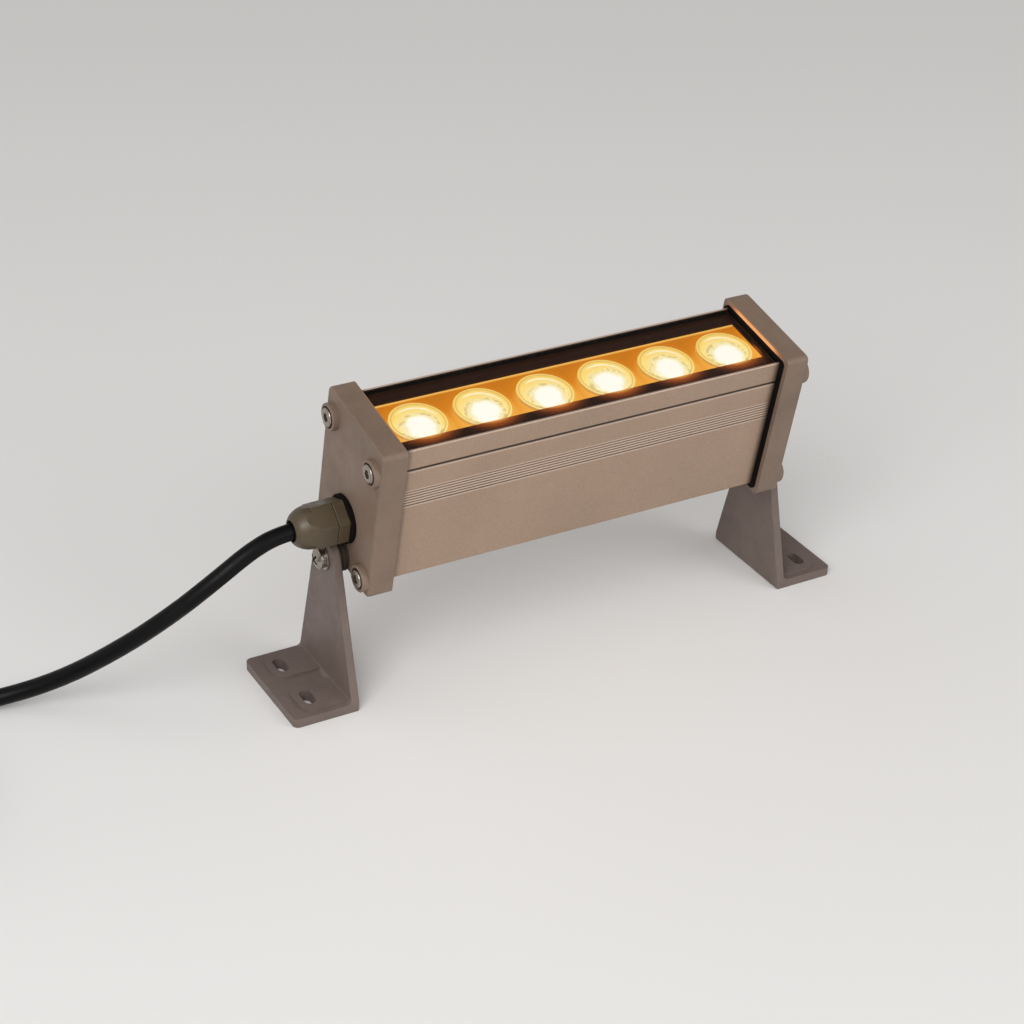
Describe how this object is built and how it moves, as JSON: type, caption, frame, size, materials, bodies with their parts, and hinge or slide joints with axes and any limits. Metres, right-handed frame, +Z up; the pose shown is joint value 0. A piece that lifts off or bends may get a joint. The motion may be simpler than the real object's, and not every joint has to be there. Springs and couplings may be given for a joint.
{
  "type": "outdoor wall washer light",
  "caption": "Short linear wall washer: aluminium housing with round lenses under glass, cast end caps on two tilting foot brackets, cable gland and coiled supply cable.",
  "frame": {"origin": "on the floor, midway between the ends and between the front and the back of the lamp on its brackets", "axes": "+X along the lamp, away from the cable's end; +Z up; the glass leans towards -Y"},
  "size_m": [0.4996, 0.1285, 0.1327],
  "materials": {
    "cast_paint": "satin taupe-grey coat over a die casting",
    "anodised": "satin silver anodising, drawn lengthwise",
    "cover_glass": "clear, polished",
    "seal_black": "black border under the glass",
    "tray_pale": "pale tray, lit warm",
    "lens_clear": "clear moulded lens, lit warm white",
    "board_white": "white solder mask",
    "led_yellow": "phosphor under a clear dome",
    "steel": "bare stainless",
    "rubber_black": "matte black",
    "gland_nylon": "olive-grey moulded nylon",
    "cable_black": "semi-gloss black jacket",
    "core_insulation": "coloured core insulation",
    "ferrule_tin": "tinned sleeve",
    "board_green": "green solder mask",
    "driver_dark": "moulded packages",
    "capacitor_can": "sleeved can",
    "terminal_green": "moulded terminal"
  },
  "bodies": {
    "left_bracket": {"bracket_left": "cast_paint", "cable_lead": "cable_black", "cable_coil": "cable_black", "cable_cores": "core_insulation", "cable_ferrules": "ferrule_tin"},
    "lamp": {"board_screws": "steel", "cable_entry": "cable_black", "cap_screws_left": "steel", "cap_screws_right": "steel", "driver_board": "board_green", "driver_capacitor": "capacitor_can", "driver_chips": "driver_dark", "driver_coil": "driver_dark", "end_cap_left": "cast_paint", "end_cap_right": "cast_paint", "end_gasket_left": "rubber_black", "end_gasket_right": "rubber_black", "gland_body": "gland_nylon", "gland_gasket": "rubber_black", "gland_locknut": "gland_nylon", "gland_nut": "gland_nylon", "gland_seal": "rubber_black", "glass_cover": "cover_glass", "glass_seal": "seal_black", "housing": "anodised", "led_1": "led_yellow", "led_2": "led_yellow", "led_3": "led_yellow", "led_4": "led_yellow", "led_5": "led_yellow", "led_6": "led_yellow", "led_board": "board_white", "led_wires": "core_insulation", "lens_1": "lens_clear", "lens_2": "lens_clear", "lens_3": "lens_clear", "lens_4": "lens_clear", "lens_5": "lens_clear", "lens_6": "lens_clear", "lens_tray": "tray_pale", "pivot_lock_washer_left": "steel", "pivot_lock_washer_right": "steel", "pivot_screw_left": "steel", "pivot_screw_right": "steel", "pivot_spacer_left": "rubber_black", "pivot_spacer_right": "rubber_black", "pivot_washer_left": "steel", "pivot_washer_right": "steel", "supply_wires": "core_insulation", "terminal_block": "terminal_green"},
    "right_bracket": {"bracket_right": "cast_paint"}
  },
  "joints": [
    {"name": "lamp_tilt", "type": "hinge", "parent": "left_bracket", "child": "lamp", "pos_m": [-0.106, 0.00614, 0.0614], "axis": [1, 0, 0], "range_deg": [-85, 65], "deforming": ["cable_lead"]},
    {"name": "right_bracket_pivot", "type": "hinge", "parent": "lamp", "child": "right_bracket", "pos_m": [0.106, 0.00614, 0.0614], "axis": [1, 0, 0], "range_deg": [-65, 85]}
  ],
  "couplings": [
    {"joint": "right_bracket_pivot", "follows": "lamp_tilt", "ratio": -1}
  ]
}
